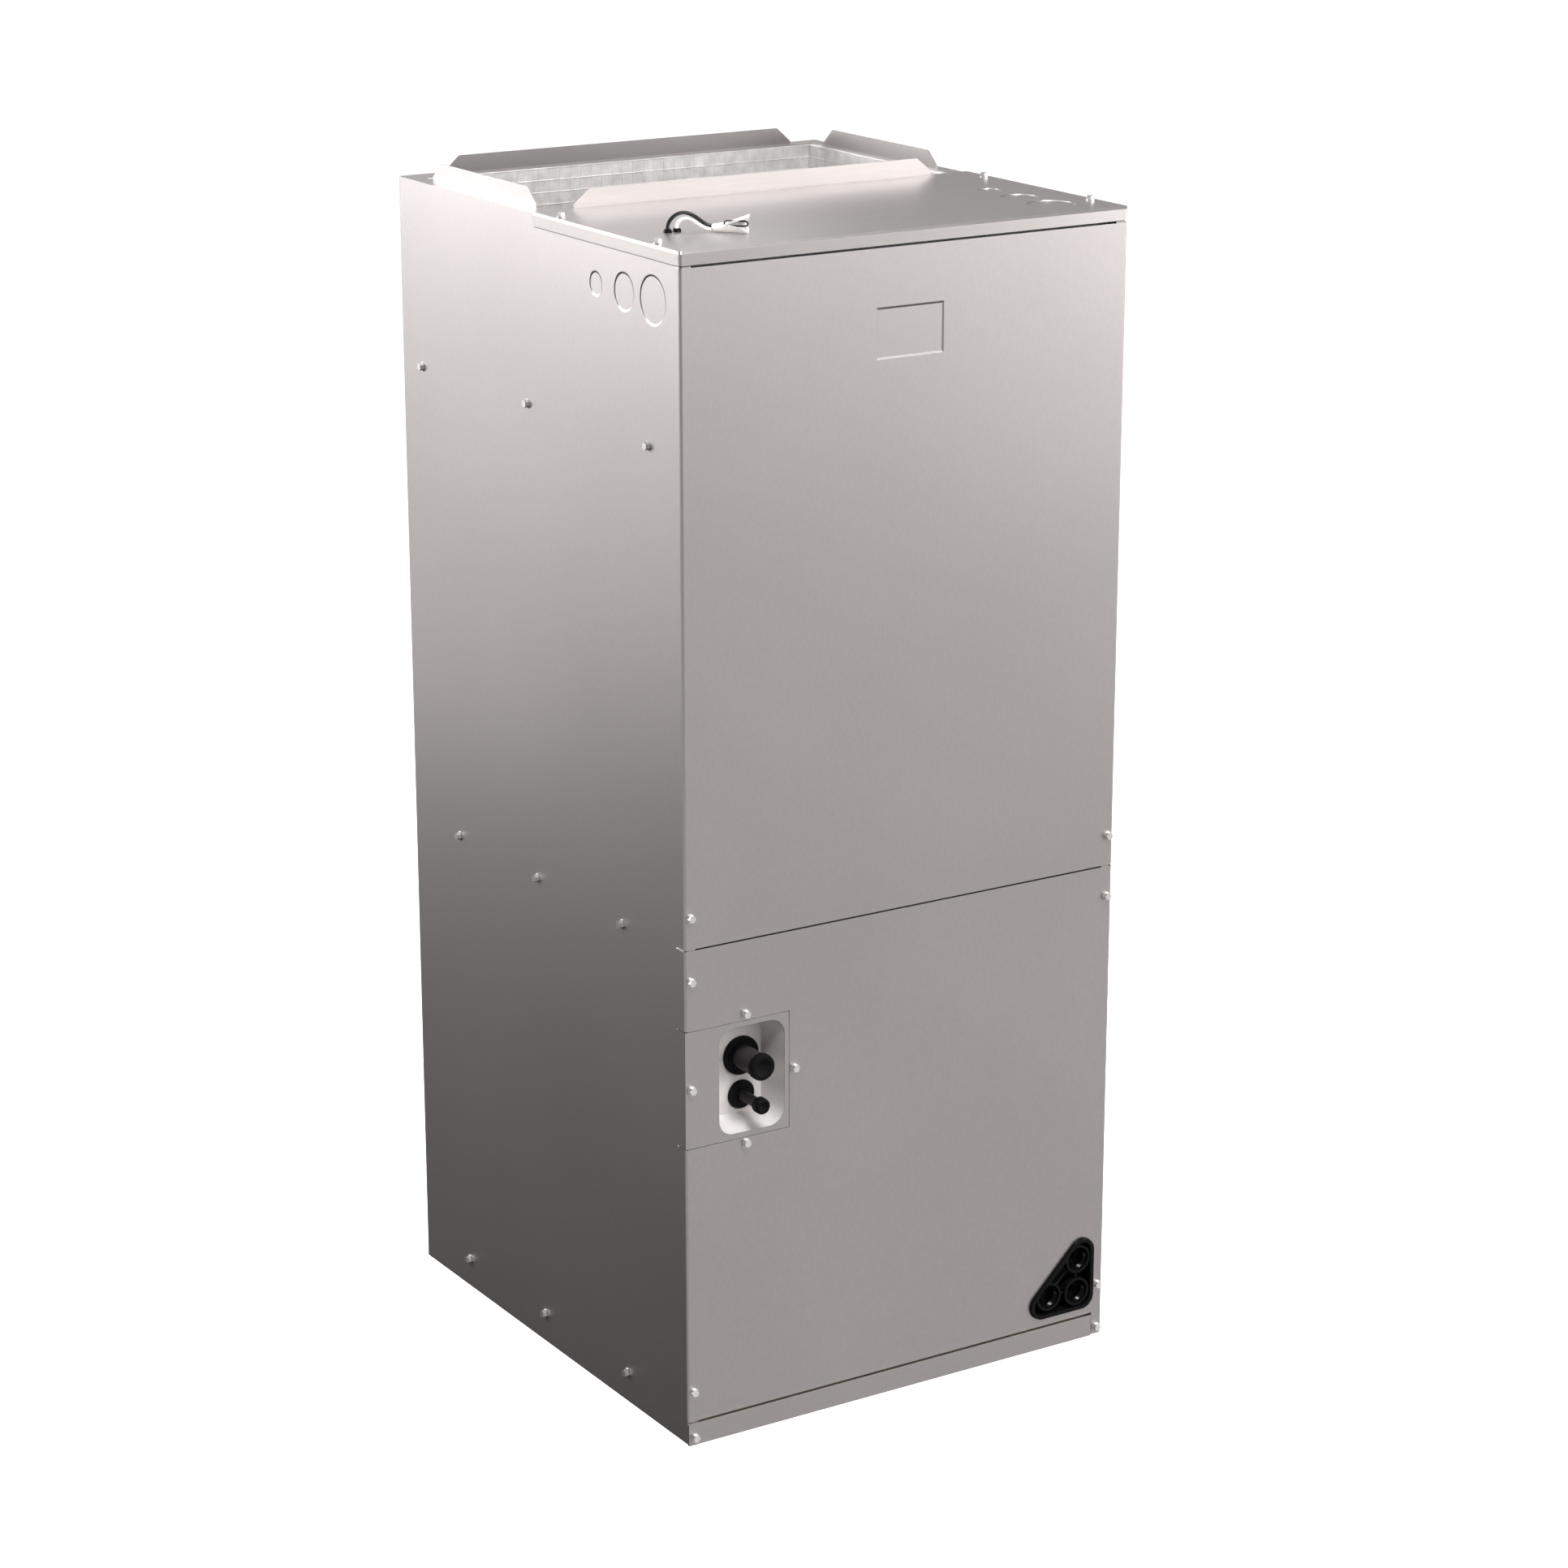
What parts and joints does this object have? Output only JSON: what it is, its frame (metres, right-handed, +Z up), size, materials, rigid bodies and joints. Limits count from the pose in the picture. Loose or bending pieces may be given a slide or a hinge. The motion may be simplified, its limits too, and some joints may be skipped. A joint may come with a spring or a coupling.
{
  "type": "upright air handler",
  "caption": "Upright residential air handler in a grey sheet metal cabinet with a blower over an A coil.",
  "frame": {"origin": "middle of the cabinet's footprint on the floor, in the plane of the return air opening", "axes": "+Z up along the cabinet's height, -Y towards the front panels, +X to the viewer's right"},
  "size_m": [0.4928, 0.5525, 1.1633],
  "materials": {
    "cabinet_sheet": "satin",
    "cover_sheet": "satin",
    "galvanised": "satin",
    "foil_insulation": "satin",
    "screw_steel": "satin",
    "fin_aluminium": "satin",
    "copper": "satin",
    "brass": "satin",
    "black_plastic": "matte",
    "black_rubber": "matte",
    "white_wire": "satin",
    "motor_paint": "satin",
    "machined_steel": "satin",
    "capacitor_can": "satin",
    "board": "satin",
    "transformer_steel": "matte",
    "card": "matte",
    "filter_cloth": "matte"
  },
  "bodies": {
    "cabinet": {"cabinet_wrapper": "cabinet_sheet", "top_cover": "cover_sheet", "insulation_left": "foil_insulation", "insulation_right": "foil_insulation", "insulation_back": "foil_insulation", "front_top_rail": "galvanised", "front_mid_rail": "galvanised", "front_base_rail": "galvanised", "mid_rail_left": "galvanised", "mid_rail_right": "galvanised", "base_rail_left": "galvanised", "base_rail_right": "galvanised", "blower_deck": "galvanised", "plenum_wall": "galvanised", "heater_cover_plate": "galvanised", "blower_side_left": "galvanised", "blower_side_right": "galvanised", "blower_scroll": "galvanised", "motor_shell": "motor_paint", "motor_mount": "galvanised", "capacitor": "capacitor_can", "control_bracket": "galvanised", "control_board": "board", "transformer": "transformer_steel", "blower_relay": "black_plastic", "motor_lead": "black_rubber", "drain_pan": "black_plastic", "coil_fins_left": "fin_aluminium", "coil_fins_right": "fin_aluminium", "coil_end_plates": "galvanised", "coil_bends_left": "copper", "coil_bends_right": "copper", "coil_apex_cap": "galvanised", "coil_baffles": "galvanised", "suction_manifold": "copper", "liquid_line": "copper", "distributor": "brass", "tubing_panel": "cabinet_sheet", "suction_grommet": "black_rubber", "liquid_grommet": "black_rubber", "stub_caps": "black_plastic", "cabinet_screws": "screw_steel", "lead_bushings": "black_plastic", "inner_leads": "white_wire", "lead_black": "black_rubber", "lead_white": "white_wire", "lead_sleeve": "white_wire"},
    "blower_rotor": {"blower_wheel": "galvanised", "wheel_hub": "machined_steel", "motor_shaft": "machined_steel"},
    "upper_front": {"upper_panel": "cabinet_sheet", "upper_panel_insulation": "foil_insulation", "upper_panel_screws": "screw_steel"},
    "lower_front": {"lower_panel": "cabinet_sheet", "lower_panel_insulation": "foil_insulation", "lower_panel_screws": "screw_steel"},
    "filter_door": {"filter_cover": "cabinet_sheet", "filter_cover_screw": "screw_steel"},
    "filter": {"filter_frame": "card", "filter_media": "filter_cloth"}
  },
  "joints": [
    {"name": "blower_spin", "type": "hinge", "parent": "cabinet", "child": "blower_rotor", "pos_m": [0, 0.03, 0.735], "axis": [1, 0, 0], "continuous": true},
    {"name": "upper_panel_off", "type": "slide", "parent": "cabinet", "child": "upper_front", "axis": [0, -1, 0], "range_m": [0, 0.25]},
    {"name": "lower_panel_off", "type": "slide", "parent": "cabinet", "child": "lower_front", "axis": [0, -1, 0], "range_m": [0, 0.25]},
    {"name": "filter_cover_off", "type": "slide", "parent": "cabinet", "child": "filter_door", "axis": [0, -1, 0], "range_m": [0, 0.54]},
    {"name": "filter_slide", "type": "slide", "parent": "cabinet", "child": "filter", "axis": [0, -1, 0], "range_m": [0, 0.5184]}
  ],
  "couplings": [
    {"joint": "filter_slide", "follows": "filter_cover_off", "ratio": 0.96}
  ]
}
